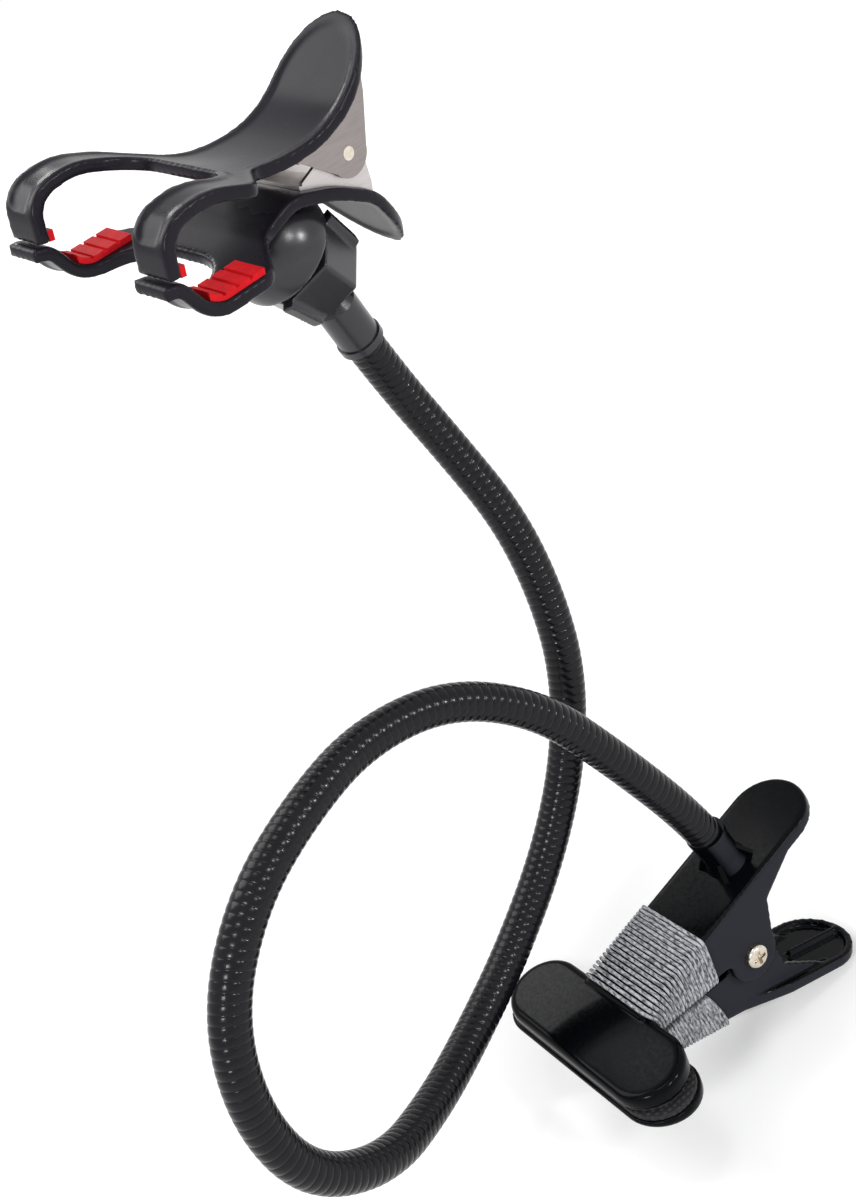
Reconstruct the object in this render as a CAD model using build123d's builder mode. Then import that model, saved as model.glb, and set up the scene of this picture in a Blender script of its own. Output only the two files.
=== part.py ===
# Phone holder on a bendable neck: a desk clamp, a gooseneck, and a sprung phone clip on a ball joint.
# Millimetres. Origin midway between the clamp's grip pads, X along its hinge, Y from pads to handles.
import math
import os

from build123d import *

# Desk clamp
lever_width = 27.0
lever_wall = 2.2
lever_slope = 15.6        # degrees from the grip plane to a lever's outer face
hinge_y = 51.9            # pads' centre to the hinge
hinge_to_face = 21.4      # hinge up to the outer face
handle_end = 92.8         # pads' centre to the end of the handles
arm_front = 9.0           # where the arms run into the jaws
arm_gap = 4.4             # clear height between the closed arms
lower_arm_width = 21.8
flare_start = 44.0        # where the lower lever starts to widen into its handle
flare_end = 60.0
ear_radius = 9.0
ear_corner = (8.6, 1.8)    # from the hinge to where a cheek's back edge meets its ear
cheek_gap = 0.3           # upper cheek to lower cheek, and cheek to screw head
cheek_tail = 80.0         # where the cheeks run out along the handles
cheek_waist = (62.8, 14.3)
skirt_depth = 4.0         # turned-down rim round each lever
rib_width = 1.6
rib_depth = 3.2
jaw_width = 24.0
upper_jaw_length = 72.0
lower_jaw_length = 78.0
upper_jaw_height = 7.2    # grip plane to the jaw's outer face, at the jaw's centre
lower_jaw_height = 5.4
jaw_slope = 7.0
jaw_round = 2.0
grip_thickness = 1.5
grip_margin = 1.0
grip_gap = 0.3            # between the closed pads

# Hinge screw and its nut
screw_diameter = 4.0
screw_clearance = 0.05    # radial
screw_head_diameter = 7.6
screw_head_height = 2.4
screw_head_round = 1.4
screw_slot = (1.2, 4.6, 1.1)
nut_across_flats = 7.0
nut_height = 3.0

# Elastic band round both arms
band_thickness = 1.1
band_clearance = 0.2
cheek_squeeze = 0.1       # of that clearance that the lower cheeks take up
band_front = 13.0
band_back = 37.0
edge_round = 1.2         # long edges of the levers

# Gooseneck and its socket on the clamp
neck_diameter = 10.0
socket_y = 61.5
socket_cone = (6.8, 3.0)       # radius at its foot, and height
socket_sleeve = (5.8, 12.0)    # radius, and height of its top above the lever
socket_ring = (6.2, 14.0)
socket_fin = (9.0, 6.0, 1.6)   # reach, height and thickness of the four gussets
socket_bore_floor = 5.0
socket_spigot_radius = 3.9
spigot_clearance = 0.1
neck_clearance = 0.05
neck_screw_radius = 1.5
neck_screw_head = (4.6, 2.0)
neck_screw_length = 5.0

# Neck's route from the clamp's socket to the clip's ball stem, read off the photo and adjusted by hand
neck_route = [
    (-4.0, 39.0, 79.5),
    (-6.5, 25.0, 104.5),
    (-9.5, 3.0, 122.0),
    (-8.0, -24.0, 127.5),
    (0.0, -49.5, 125.0),
    (6.5, -72.5, 116.5),
    (12.5, -91.5, 98.0),
    (18.0, -99.5, 73.0),
    (20.5, -94.5, 47.5),
    (14.5, -75.0, 29.0),
    (-1.0, -52.5, 20.5),
    (-15.0, -29.0, 19.5),
    (-23.5, -4.5, 27.5),
    (-28.0, 20.5, 45.0),
    (-30.0, 39.0, 67.0),
    (-30.0, 50.0, 93.0),
    (-34.0, 54.5, 117.5),
    (-39.0, 54.5, 142.5),
    (-46.0, 49.0, 167.5),
]
socket_lead = 15.0        # straight run out of the clamp's socket
stem_lead = 25.0          # straight run into the ball stem
bend_share = 0.45         # of the shorter run beside a bend that the bend takes

# Phone clip: its own frame has X along the pin, Y from fingers to paddles, Z up, origin at the pin
pin_centre = (-36.1, 39.6, 260.1)
clip_turn = (-8.1, 11.5, 11.5)
jaw_thickness = 3.4
finger_spacing = 52.0
finger_width = 12.6
upper_crotch = (-40.0, 9.0)    # end of the gap between the fingers, and its corner radius
lower_crotch = (-43.5, 16.0)
fingertip_round = 2.5
fingertip_spare = 2.0     # that a jaw's plan runs past its curve
shoulder_round = 6.0
shoulder = -43.0          # where the fork starts to narrow
waist = -31.0
paddle_width = 30.0
paddle_shoulder = 2.0
upper_curve = [(-70.4, -4.6), (-70.4, 7.2), (-57.0, 11.8), (-26.0, 5.0), (-5.0, 8.2), (17.6, 32.2)]
upper_radii = [9.0, 24.0, 50.0, 30.0]
upper_end = 15.4          # tip of the upper paddle
lower_curve = [(-72.2, -5.0), (-67.0, -5.2), (-60.0, -13.9), (-31.0, -9.5), (-21.0, -3.6), (-6.0, -6.2),
               (6.5, -11.0), (26.0, -31.5)]
lower_radii = [5.0, 8.0, 20.0, 14.0, 40.0, 18.0]
lower_end = 21.5
dish_depth = 0.6          # of a jaw's outer face, inside its raised rim
dish_rim = 2.4
dish_spare = 0.005        # that the dish keeps from the arm's edge before its corner is rounded
seat_gap = 0.05           # sheet metal and pads to the jaw they sit on
plan_reach = upper_end - upper_curve[0][0]    # a jaw's length, more than any height in the clip

# Sheet-steel brackets, pin and spring of the clip
steel = 1.0
upper_ear_outside = 13.0
ear_to_ear = 0.3
upper_ear_radius = 6.0
lower_ear_radius = 5.2
upper_ear = [(-15.0, 2.0), (-4.4, -4.0), (0.0, 0.0), (6.0, 0.6), (7.6, 13.0), (7.6, 24.0), (-15.0, 10.0)]
lower_ear = [(-15.0, -3.0), (-4.0, 3.4), (0.0, 0.0), (5.0, 1.4), (7.0, -9.0), (7.0, -16.0), (-15.0, -9.0)]
upper_web = (-16.0, 7.0)
lower_web = (-16.0, 7.0)
pin_radius = 1.75
pin_clearance = 0.05
coil_radius = 3.3
spring_wire = 0.6
coil_from = 142.0         # degrees, where the coil starts in the clip's side view
coil_to = 230.0
coil_turns = 3 + (coil_to - coil_from) / 360
coil_pitch = 1.7
spring_leg = 10.0
wire_sides = 8            # few faces on a hidden spring

# Rubber pads of the clip
pad_thickness = 1.5
pad_width = 10.6
lower_pad = (-61.0, -45.0)
upper_pad = 2.6           # height of the pads inside the upper tips
pad_grooves = 3           # across each lower pad
groove_width = 1.0
groove_depth = 0.6

# Ball joint
ball_centre = (-8.6, -29.0)     # in the clip's side view
socket_angle = -45.0            # from the socket outwards, in the clip's side view
stem_angle = -62.0
ball_radius = 7.5
ball_clearance = 0.3
stem_neck = 3.0
cone_start = 8.5
ferrule_radius = 6.1
ferrule_start = 13.0
ferrule_end = 28.5
ferrule_ring = (6.6, 2.2)
ferrule_bore_floor = 16.0
dome_radius = 15.0
dome_middle = -12.0             # along the socket's axis, from the ball's centre
dome_top = -10.0
pedestal = (-15.0, -14.0, 9.5)  # place along the clip, foot and radius of the block between dome and jaw
thread_radius = 10.4
thread_clearance = 0.1
thread_end = 1.2
groove_radius = 11.6
nut_start = -8.0
nut_end = 6.4
nut_big = 14.2                  # to the corners of its six sides
nut_small = 13.0
nut_lip = 6.3
nut_mouth = 7.6
nut_bevel = 0.6
nut_rib = (3.4, 1.2)            # width, and height over the corners
nut_turn = 60.0                 # degrees from the pin's direction to the first rib

os.makedirs("parts", exist_ok=True)

slope = math.radians(lever_slope)
half_width = lever_width / 2
lower_cheek_outside = half_width - lever_wall - cheek_gap
pad_seat = grip_gap / 2 + grip_thickness


def face_height(y):
    # height of a lever's outer face above the grip plane
    return hinge_to_face + (y - hinge_y) * math.tan(slope)


def along(y):
    # place along a lever, from the hinge, of a point at this y
    return (y - hinge_y) / math.cos(slope)


def side_plane(sign):
    # side view of a lever: across is Y, up is away from the grip plane
    return Plane(origin=(0, 0, 0), x_dir=(0, 1, 0), z_dir=(sign, 0, 0))


def face_plane(sign):
    # a lever's outer face, with its normal outwards
    return Plane(
        origin=(0, hinge_y, sign * hinge_to_face),
        x_dir=(sign, 0, 0),
        z_dir=(0, -math.sin(slope), sign * math.cos(slope)),
    )


def plate_outline(arm_width):
    # lever seen square to its outer face, with a round handle end
    arm = arm_width / 2
    end = along(handle_end)
    with BuildLine() as outline:
        Polyline(
            (arm, along(arm_front)), (arm, along(flare_start)),
            (half_width, along(flare_end)), (half_width, end - half_width),
        )
        RadiusArc((half_width, end - half_width), (0, end), -half_width)
        mirror(about=Plane.YZ)
        Line((-arm, along(arm_front)), (arm, along(arm_front)))
    make_face(outline.edges())


def jaw_block(sign, length, height):
    # stadium jaw, its outer face leaning with the lever
    with BuildSketch(Plane.XY.offset(sign * pad_seat)) as plan:
        SlotOverall(length, jaw_width)
    extrude(plan.sketch, amount=sign * 2 * height)
    lean = math.radians(jaw_slope)
    top = Plane(
        origin=(0, 0, sign * height),
        x_dir=(sign, 0, 0),
        z_dir=(0, -math.sin(lean), sign * math.cos(lean)),
    )
    split(bisect_by=top, keep=Keep.BOTTOM)
    outer = faces().sort_by(Axis.Z)[-1 if sign > 0 else 0]
    fillet(outer.edges(), radius=jaw_round)


def lever_body(sign, arm_width, cheek_outside):
    # plate with a turned-down rim, a rib under the handle, and two cheeks with the hinge's ears
    face = face_plane(sign)
    with BuildSketch(face) as plate:
        plate_outline(arm_width)
    extrude(plate.sketch, amount=-lever_wall)
    rim = faces().filter_by(lambda f: (f.normal_at() - face.z_dir).length < 0.01).sort_by(SortBy.AREA)[-1]
    fillet(rim.edges(), radius=edge_round)
    with BuildSketch(face.offset(-edge_round)) as skirt:
        plate_outline(arm_width)
        offset(amount=-lever_wall, mode=Mode.SUBTRACT)
    extrude(skirt.sketch, amount=edge_round - skirt_depth)
    rib_start = along(flare_end) + socket_fin[0] + lever_wall
    rib_end = along(handle_end) - lever_wall / 2
    with BuildSketch(face.offset(-lever_wall / 2)) as rib:
        with Locations((0, (rib_start + rib_end) / 2)):
            Rectangle(rib_width, rib_end - rib_start)
    extrude(rib.sketch, amount=-rib_depth)
    low = arm_gap / 2
    inside = edge_round + lever_wall / 4
    with BuildSketch(side_plane(sign).offset(cheek_outside - lever_wall)) as cheek:
        with BuildLine():
            Polyline(
                (arm_front, low), (arm_front, face_height(arm_front) - inside),
                (cheek_tail, face_height(cheek_tail) - inside), cheek_waist,
                (hinge_y + ear_corner[0], ear_corner[1]), (hinge_y, 0),
                (hinge_y - ear_radius - low, low), close=True,
            )
        make_face()
        with Locations((hinge_y, 0)):
            Circle(ear_radius)
            Circle(screw_diameter / 2 + screw_clearance, mode=Mode.SUBTRACT)
    extrude(cheek.sketch, amount=lever_wall)
    mirror(about=Plane.YZ)


with BuildPart() as upper_block:
    jaw_block(1, upper_jaw_length, upper_jaw_height)

with BuildPart() as lower_block:
    jaw_block(-1, lower_jaw_length, lower_jaw_height)

with BuildPart() as upper_lever:
    lever_body(1, lever_width, half_width)
    add(upper_block.part)
    with BuildSketch(face_plane(1)):
        with Locations((0, along(socket_y))):
            Circle(socket_spigot_radius + spigot_clearance)
    extrude(amount=-2 * lever_wall, mode=Mode.SUBTRACT)

with BuildPart() as lower_lever:
    lever_body(-1, lower_arm_width, lower_cheek_outside)
    add(lower_block.part)


def grip_pad(sign, length):
    with BuildSketch(Plane.XY.offset(sign * grip_gap / 2)) as plan:
        SlotOverall(length - 2 * grip_margin, jaw_width - 2 * grip_margin)
    extrude(plan.sketch, amount=sign * grip_thickness)


with BuildPart() as upper_grip_pad:
    grip_pad(1, upper_jaw_length)

with BuildPart() as lower_grip_pad:
    grip_pad(-1, lower_jaw_length)

hinge_plane = Plane(origin=(half_width, hinge_y, 0), x_dir=(0, 1, 0), z_dir=(1, 0, 0))
with BuildPart() as hinge_screw:
    with BuildSketch(hinge_plane):
        Circle(screw_head_diameter / 2)
    extrude(amount=screw_head_height)
    fillet(edges().sort_by(Axis.X)[-1], radius=screw_head_round)
    with BuildSketch(hinge_plane.offset(screw_head_height)):
        Rectangle(screw_slot[0], screw_slot[1])
        Rectangle(screw_slot[1], screw_slot[0])
    extrude(amount=-screw_slot[2], mode=Mode.SUBTRACT)
    with BuildSketch(hinge_plane):
        Circle(screw_diameter / 2)
    extrude(amount=-lever_width - nut_height)

with BuildPart() as hinge_nut:
    with BuildSketch(hinge_plane.offset(-lever_width)):
        RegularPolygon(nut_across_flats / 2, 6, major_radius=False)
        Circle(screw_diameter / 2 + screw_clearance, mode=Mode.SUBTRACT)
    extrude(amount=-nut_height)


def band_block(grow):
    # block round both arms, this much larger than they are; the lower arm is the narrower
    wide = half_width + grow
    narrow = max(lower_arm_width / 2, lower_cheek_outside - cheek_squeeze) + grow
    step = arm_gap / 2
    front = face_height(band_front) + grow
    back = face_height(band_back) + grow
    with BuildPart() as block:
        with BuildSketch(Plane.YZ):
            with BuildLine():
                Polyline(
                    (band_front, front), (band_back, back),
                    (band_back, -back), (band_front, -front), close=True,
                )
            make_face()
        extrude(amount=lever_width, both=True)
        with BuildSketch(Plane.XZ.offset(-band_back)):
            with BuildLine():
                Polyline(
                    (0, 2 * back), (wide, 2 * back), (wide, step),
                    (narrow, -step), (narrow, -2 * back), (0, -2 * back),
                )
                mirror(about=Plane.YZ)
            make_face()
        extrude(amount=band_back - band_front, mode=Mode.INTERSECT)
        leaning = edges().filter_by(lambda e: min(abs((e % 0.5).Y), abs((e % 0.5).Z)) > 0.1)
        fillet(leaning, radius=edge_round + grow)
    return block.part


band_outside = band_block(band_clearance + band_thickness)
band_inside = band_block(band_clearance)
with BuildPart() as elastic_band:
    add(band_outside)
    add(band_inside, mode=Mode.SUBTRACT)

lever_top = face_plane(1)
socket_origin = lever_top.from_local_coords(Vector(0, along(socket_y), 0))
neck_socket_plane = Plane(origin=socket_origin, x_dir=(1, 0, 0), z_dir=lever_top.z_dir)
with BuildPart() as neck_socket:
    with BuildSketch(neck_socket_plane):
        Circle(socket_cone[0])
    foot_taper = math.degrees(math.atan2(socket_cone[0] - socket_sleeve[0], socket_cone[1]))
    extrude(amount=socket_cone[1], taper=foot_taper)
    for turn in (45, 135):
        across = Vector(1, 0, 0).rotate(Axis((0, 0, 0), neck_socket_plane.z_dir), turn)
        fin_side = neck_socket_plane.z_dir.cross(across)
        with BuildSketch(Plane(origin=socket_origin, x_dir=across, z_dir=fin_side * -1)):
            with BuildLine():
                Polyline(
                    (-socket_fin[0], 0), (socket_fin[0], 0),
                    (socket_bore_floor, socket_fin[1]), (-socket_bore_floor, socket_fin[1]), close=True,
                )
            make_face()
        extrude(amount=socket_fin[2] / 2, both=True)
    with BuildSketch(neck_socket_plane):
        Circle(socket_sleeve[0])
    extrude(amount=socket_sleeve[1])
    with BuildSketch(neck_socket_plane.offset(socket_sleeve[1])):
        Circle(socket_ring[0])
    extrude(amount=socket_ring[1] - socket_sleeve[1])
    with BuildSketch(neck_socket_plane):
        Circle(socket_spigot_radius)
    extrude(amount=-lever_wall)
    with BuildSketch(neck_socket_plane.offset(socket_bore_floor)):
        Circle(neck_diameter / 2 + neck_clearance)
    extrude(amount=socket_ring[1], mode=Mode.SUBTRACT)
    with BuildSketch(neck_socket_plane.offset(-lever_wall)):
        Circle(neck_screw_radius + screw_clearance)
    extrude(amount=neck_screw_length + screw_clearance, mode=Mode.SUBTRACT)

with BuildPart() as neck_screw:
    with BuildSketch(neck_socket_plane.offset(-lever_wall)):
        Circle(neck_screw_radius)
    extrude(amount=neck_screw_length)
    with BuildSketch(neck_socket_plane.offset(-lever_wall)):
        Circle(neck_screw_head[0])
    extrude(amount=-neck_screw_head[1])

# Frames of the clip
clip_plan = Plane(Location(pin_centre, clip_turn))
clip_side = Plane(origin=pin_centre, x_dir=clip_plan.y_dir, z_dir=clip_plan.x_dir)
pin_axis = clip_plan.x_dir
ball_point = clip_side.from_local_coords(Vector(*ball_centre))


def turned(angle):
    # direction at this angle in the clip's side view
    a = math.radians(angle)
    return clip_side.x_dir * math.cos(a) + clip_side.y_dir * math.sin(a)


socket_dir = turned(socket_angle)
stem_dir = turned(stem_angle)
socket_profile = Plane(origin=ball_point, x_dir=socket_dir, z_dir=pin_axis)
stem_profile = Plane(origin=ball_point, x_dir=stem_dir, z_dir=pin_axis)

socket_floor = neck_socket_plane.origin + neck_socket_plane.z_dir * socket_bore_floor
stem_floor = ball_point + stem_dir * ferrule_bore_floor
neck_points = [socket_floor, socket_floor + neck_socket_plane.z_dir * socket_lead]
neck_points += [Vector(*p) for p in neck_route]
neck_points += [stem_floor + stem_dir * stem_lead, stem_floor]


def bend_radii(points):
    # each bend as large as its two runs allow
    radii = []
    for before, corner, after in zip(points, points[1:], points[2:]):
        turn = math.radians((corner - before).get_angle(after - corner))
        run = min((corner - before).length, (after - corner).length)
        radii.append(bend_share * run / math.tan(turn / 2))
    return radii


neck_bends = bend_radii(neck_points)
print("neck bends", [round(r) for r in neck_bends])
with BuildPart() as gooseneck:
    with BuildLine() as neck_line:
        FilletPolyline(*neck_points, radius=neck_bends)
    with BuildSketch(Plane(origin=neck_points[0], z_dir=neck_line.line % 0)):
        Circle(neck_diameter / 2)
    sweep(path=neck_line.line)
print("neck length", round(sum(edge.length for edge in neck_line.edges()), 1))


def offset_curve(curve, radii, depth):
    # corner points and radii of a line that runs along a jaw's outer curve, this deep inside it
    lines = []
    for start, end in zip(curve, curve[1:]):
        run = math.dist(start, end)
        ahead = ((end[0] - start[0]) / run, (end[1] - start[1]) / run)
        lines.append(((start[0] + ahead[1] * depth, start[1] - ahead[0] * depth), ahead))
    points = [lines[0][0]]
    bends = []
    for (p, d), (q, e), radius in zip(lines, lines[1:], radii):
        turn = d[0] * e[1] - d[1] * e[0]
        step = ((q[0] - p[0]) * e[1] - (q[1] - p[1]) * e[0]) / turn
        points.append((p[0] + d[0] * step, p[1] + d[1] * step))
        bends.append(radius + depth if turn > 0 else radius - depth)
    ahead = lines[-1][1]
    points.append((curve[-1][0] + ahead[1] * depth, curve[-1][1] - ahead[0] * depth))
    return points, bends


def curve_strip(curve, radii, start, thickness):
    # strip that runs along a jaw's outer curve, from start to start + thickness inside it
    near, near_bends = offset_curve(curve, radii, start)
    far, far_bends = offset_curve(curve, radii, start + thickness)
    with BuildLine() as strip:
        FilletPolyline(*near, radius=near_bends)
        FilletPolyline(*far, radius=far_bends)
        Line(near[0], far[0])
        Line(near[-1], far[-1])
    make_face(strip.edges())


def fork_outline(front, end, crotch, crotch_round, inset):
    # plan of a jaw: two fingers, a narrow waist and a round paddle, all drawn in by inset
    inner = finger_spacing / 2 - finger_width / 2 + inset
    outer = finger_spacing / 2 + finger_width / 2 - inset
    paddle = paddle_width / 2 - inset
    front = front + inset
    end = end - inset
    arm_edge = shoulder + (waist - shoulder) * (outer - inner) / (outer - paddle)
    crotch = min(crotch + inset, arm_edge - dish_spare)
    tip_round = fingertip_round - inset / 2
    with BuildLine() as outline:
        Polyline(
            (0, crotch), (inner, crotch), (inner, front), (outer, front),
            (outer, shoulder), (paddle, waist), (paddle, paddle_shoulder),
        )
        EllipticalCenterArc((0, paddle_shoulder), paddle, end - paddle_shoulder, start_angle=0, arc_size=90)
        mirror(about=Plane.YZ)
    make_face(outline.edges())
    corners = [
        (inner, crotch, crotch_round + inset), (inner, front, tip_round), (outer, front, tip_round),
        (outer, shoulder, shoulder_round), (paddle, waist, shoulder_round),
    ]
    for x, y, radius in corners:
        for side in (-1, 1):
            fillet(vertices().sort_by_distance((side * x, y, 0))[0], radius=radius)


def fork_ribbon(curve, radii, end, gap, dish_from):
    # curved strip trimmed to the jaw's plan, with one face dished inside a raised rim
    below = clip_plan.offset(-plan_reach)
    with BuildSketch(clip_side) as strip:
        curve_strip(curve, radii, 0, jaw_thickness)
    extrude(strip.sketch, amount=plan_reach, both=True)
    with BuildSketch(below) as plan:
        fork_outline(curve[0][0] - fingertip_spare, end, *gap, 0)
    extrude(plan.sketch, amount=2 * plan_reach, mode=Mode.INTERSECT)
    with BuildSketch(clip_side, mode=Mode.PRIVATE) as skin:
        curve_strip(curve, radii, dish_from, 2 * dish_depth)
    with BuildSketch(below, mode=Mode.PRIVATE) as inner:
        fork_outline(curve[0][0] - fingertip_spare, end, *gap, dish_rim)
    dish = extrude(skin.sketch, amount=plan_reach, both=True, mode=Mode.PRIVATE)
    dish = dish & extrude(inner.sketch, amount=2 * plan_reach, mode=Mode.PRIVATE)
    add(dish, mode=Mode.SUBTRACT)


with BuildPart() as upper_jaw:
    fork_ribbon(upper_curve, upper_radii, upper_end, upper_crotch, -dish_depth)

with BuildPart() as lower_ribbon:
    fork_ribbon(lower_curve, lower_radii, lower_end, lower_crotch, jaw_thickness - dish_depth)


def beyond(curve, radii, depth, reach):
    # everything past a line that runs along a jaw's curve at this depth, up or down to reach
    points, bends = offset_curve(curve, radii, depth)
    first = points[0]
    last = points[-1]
    far = first[0] - plan_reach
    with BuildLine() as region:
        FilletPolyline(*points, radius=bends)
        Polyline(last, (last[0], reach), (far, reach), (far, first[1]), first)
    make_face(region.edges())


def window(u_from, u_to, v_from, v_to):
    # rectangle in the clip's plan
    with Locations(((v_from + v_to) / 2, (u_from + u_to) / 2)):
        Rectangle(v_to - v_from, u_to - u_from)


cup_radius = ball_radius + ball_clearance
dome_rim = math.sqrt(dome_radius**2 - (dome_top - dome_middle)**2)
thread_lip = math.sqrt(cup_radius**2 - thread_end**2)
diagonal = math.sqrt(0.5)
with BuildPart() as lower_jaw:
    with BuildSketch(socket_profile):
        with BuildLine():
            ThreePointArc(
                (dome_middle - dome_radius, 0),
                (dome_middle - dome_radius * diagonal, dome_radius * diagonal),
                (dome_top, dome_rim),
            )
            Polyline(
                (dome_top, dome_rim), (dome_top, groove_radius),
                (nut_start - cheek_gap, groove_radius), (nut_start - cheek_gap, thread_radius),
                (thread_end, thread_radius), (thread_end, thread_lip),
            )
            ThreePointArc(
                (thread_end, thread_lip), (-cup_radius * diagonal, cup_radius * diagonal), (-cup_radius, 0),
            )
            Line((-cup_radius, 0), (dome_middle - dome_radius, 0))
        make_face()
    revolve(axis=Axis(ball_point, socket_dir))
    with BuildSketch(clip_plan.offset(pedestal[1])):
        with Locations((0, pedestal[0])):
            Circle(pedestal[2])
    extrude(amount=-2 * pedestal[1])
    with BuildSketch(clip_side) as above:
        beyond(lower_curve, lower_radii, jaw_thickness / 2, plan_reach)
    extrude(above.sketch, amount=plan_reach, both=True, mode=Mode.SUBTRACT)
    add(lower_ribbon.part)

with BuildPart() as upper_bracket:
    with BuildSketch(clip_side.offset(upper_ear_outside - steel)) as ear:
        with BuildLine():
            Polyline(*upper_ear, close=True)
        make_face()
        Circle(upper_ear_radius)
        Circle(pin_radius + pin_clearance, mode=Mode.SUBTRACT)
    extrude(ear.sketch, amount=steel)
    mirror(about=clip_side)
    with BuildSketch(clip_side) as over:
        beyond(upper_curve, upper_radii, jaw_thickness + seat_gap, plan_reach)
    extrude(over.sketch, amount=plan_reach, both=True, mode=Mode.SUBTRACT)
    with BuildSketch(clip_side, mode=Mode.PRIVATE) as web:
        curve_strip(upper_curve, upper_radii, jaw_thickness + seat_gap, steel)
    with BuildSketch(clip_plan.offset(-plan_reach), mode=Mode.PRIVATE) as plan:
        window(upper_web[0], upper_web[1], -upper_ear_outside, upper_ear_outside)
    strip = extrude(web.sketch, amount=plan_reach, both=True, mode=Mode.PRIVATE)
    add(strip & extrude(plan.sketch, amount=2 * plan_reach, mode=Mode.PRIVATE))

lower_ear_outside = upper_ear_outside - steel - ear_to_ear
with BuildPart() as lower_bracket:
    with BuildSketch(clip_side.offset(lower_ear_outside - steel)) as ear:
        with BuildLine():
            Polyline(*lower_ear, close=True)
        make_face()
        Circle(lower_ear_radius)
        Circle(pin_radius + pin_clearance, mode=Mode.SUBTRACT)
    extrude(ear.sketch, amount=steel)
    mirror(about=clip_side)
    with BuildSketch(clip_side) as under:
        beyond(lower_curve, lower_radii, -seat_gap, -plan_reach)
    extrude(under.sketch, amount=plan_reach, both=True, mode=Mode.SUBTRACT)
    with BuildSketch(clip_side, mode=Mode.PRIVATE) as web:
        curve_strip(lower_curve, lower_radii, -seat_gap - steel, steel)
    with BuildSketch(clip_plan.offset(-plan_reach), mode=Mode.PRIVATE) as plan:
        window(lower_web[0], lower_web[1], -lower_ear_outside, lower_ear_outside)
    strip = extrude(web.sketch, amount=plan_reach, both=True, mode=Mode.PRIVATE)
    add(strip & extrude(plan.sketch, amount=2 * plan_reach, mode=Mode.PRIVATE))

with BuildPart() as clip_pin:
    with BuildSketch(clip_side):
        Circle(pin_radius)
    extrude(amount=upper_ear_outside, both=True)


def at_angle(angle, radius):
    # point of the coil in the clip's side view
    a = math.radians(angle)
    return Vector(radius * math.cos(a), radius * math.sin(a), 0)


coil_length = coil_pitch * coil_turns
start_dir = clip_side.from_local_coords(at_angle(coil_from, 1)) - clip_side.origin
coil_plane = Plane(origin=clip_side.origin - pin_axis * (coil_length / 2), x_dir=start_dir, z_dir=pin_axis)
coil = Helix(coil_pitch, coil_length, coil_radius).moved(coil_plane.location)
with BuildPart() as clip_spring:
    with BuildSketch(Plane(origin=coil @ 0, z_dir=coil % 0)):
        RegularPolygon(spring_wire, wire_sides)
    sweep(path=coil, is_frenet=True)
    for place, heading in ((coil @ 0, (coil % 0) * -1), (coil @ 1, coil % 1)):
        with BuildSketch(Plane(origin=place, z_dir=heading)) as leg:
            RegularPolygon(spring_wire, wire_sides)
        extrude(leg.sketch, amount=spring_leg)


def clip_pad(curve, radii, start, reach, side):
    # grooved rubber pad on a finger
    with BuildSketch(clip_side) as strip:
        curve_strip(curve, radii, start, pad_thickness)
    extrude(strip.sketch, amount=plan_reach, both=True)
    below = clip_plan.offset(-plan_reach)
    middle = side * finger_spacing / 2
    with BuildSketch(below) as plan:
        window(reach[0], reach[1], middle - pad_width / 2, middle + pad_width / 2)
    extrude(plan.sketch, amount=2 * plan_reach, mode=Mode.INTERSECT)
    with BuildSketch(clip_side, mode=Mode.PRIVATE) as skin:
        curve_strip(curve, radii, start - groove_depth, 2 * groove_depth)
    step = (reach[1] - reach[0]) / (pad_grooves + 1)
    with BuildSketch(below, mode=Mode.PRIVATE) as slots:
        for i in range(pad_grooves):
            place = reach[0] + (i + 1) * step - groove_width / 2
            window(place, place + groove_width, middle - pad_width, middle + pad_width)
    grooves = extrude(skin.sketch, amount=plan_reach, both=True, mode=Mode.PRIVATE)
    add(grooves & extrude(slots.sketch, amount=2 * plan_reach, mode=Mode.PRIVATE), mode=Mode.SUBTRACT)


lower_pad_start = -seat_gap - pad_thickness
with BuildPart() as lower_near_pad:
    clip_pad(lower_curve, lower_radii, lower_pad_start, lower_pad, 1)

with BuildPart() as lower_far_pad:
    clip_pad(lower_curve, lower_radii, lower_pad_start, lower_pad, -1)


def tip_pad(side):
    # small rubber block inside an upper fingertip
    tip_inside = upper_curve[0][0] + jaw_thickness + seat_gap
    tip_foot = upper_curve[0][1]
    with BuildSketch(clip_side.offset(side * finger_spacing / 2)) as block:
        with Locations((tip_inside + pad_thickness / 2, tip_foot + upper_pad / 2)):
            Rectangle(pad_thickness, upper_pad)
    extrude(block.sketch, amount=pad_width / 2, both=True)


with BuildPart() as upper_near_pad:
    tip_pad(1)

with BuildPart() as upper_far_pad:
    tip_pad(-1)

neck_on_ball = math.sqrt(ball_radius**2 - stem_neck**2)
ring_start = ferrule_end - ferrule_ring[1]
bore = neck_diameter / 2 + neck_clearance
with BuildPart() as ball_stem:
    with BuildSketch(stem_profile):
        with BuildLine():
            ThreePointArc((-ball_radius, 0), (0, ball_radius), (neck_on_ball, stem_neck))
            Polyline(
                (neck_on_ball, stem_neck), (cone_start, stem_neck), (ferrule_start, ferrule_radius),
                (ring_start, ferrule_radius), (ring_start, ferrule_ring[0]), (ferrule_end, ferrule_ring[0]),
                (ferrule_end, bore), (ferrule_bore_floor, bore), (ferrule_bore_floor, 0), (-ball_radius, 0),
            )
        make_face()
    revolve(axis=Axis(ball_point, stem_dir))

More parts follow.
